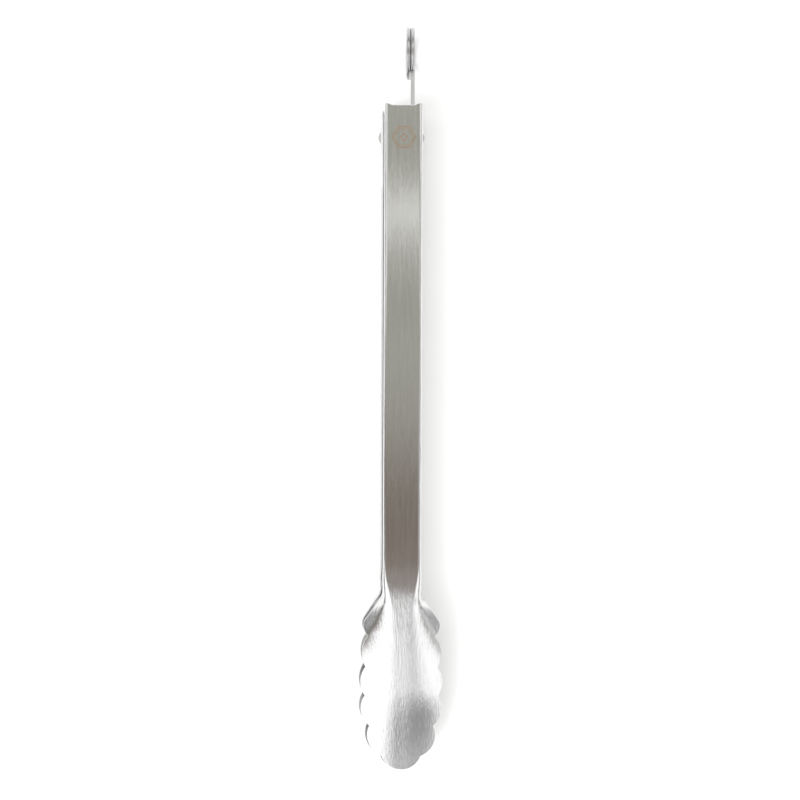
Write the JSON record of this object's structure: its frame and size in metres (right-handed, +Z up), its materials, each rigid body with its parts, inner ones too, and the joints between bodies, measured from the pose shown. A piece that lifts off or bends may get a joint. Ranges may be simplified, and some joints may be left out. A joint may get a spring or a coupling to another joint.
{
  "type": "spring loaded kitchen tongs",
  "caption": "Steel tongs: channel arms with dished, scalloped heads on a riveted, sprung hinge, locked shut by pulling a wire ring.",
  "frame": {"origin": "middle of the bounding box's bottom face, on the lower arm's flat web", "axes": "+Y along the arms from the scalloped tips to the pull ring, +Z up through the lower arm's web to the upper arm's web, +X across the arms along the rivet"},
  "size_m": [0.0392, 0.3414, 0.024],
  "materials": {
    "arm_steel": "brushed along the length",
    "rivet_steel": "polished",
    "plain_steel": "mill finish",
    "spring_wire": "drawn wire",
    "ring_wire": "bright drawn wire"
  },
  "bodies": {
    "lower": {"lower_arm": "arm_steel", "pivot_rivet": "rivet_steel", "torsion_spring": "spring_wire"},
    "upper": {"upper_arm": "arm_steel"},
    "guide": {"spacer_bush": "plain_steel"},
    "lock": {"lock_plate": "plain_steel", "pull_ring": "ring_wire"}
  },
  "joints": [
    {"name": "arm_hinge", "type": "hinge", "parent": "lower", "child": "upper", "pos_m": [0, 0.11997, 0.012], "axis": [-1, 0, 0], "range_deg": [0, 24], "deforming": ["torsion_spring"]},
    {"name": "lock_tilt", "type": "hinge", "parent": "lower", "child": "guide", "pos_m": [0, 0.11997, 0.012], "axis": [-1, 0, 0], "range_deg": [0, 12.5]},
    {"name": "lock_slide", "type": "slide", "parent": "guide", "child": "lock", "axis": [0, 1, 0], "range_m": [-0.0086, 0]}
  ],
  "couplings": [
    {"joint": "lock_tilt", "follows": "arm_hinge", "ratio": 0.5},
    {"joint": "lock_slide", "follows": "arm_hinge", "m_per_rad": -0.020292}
  ]
}
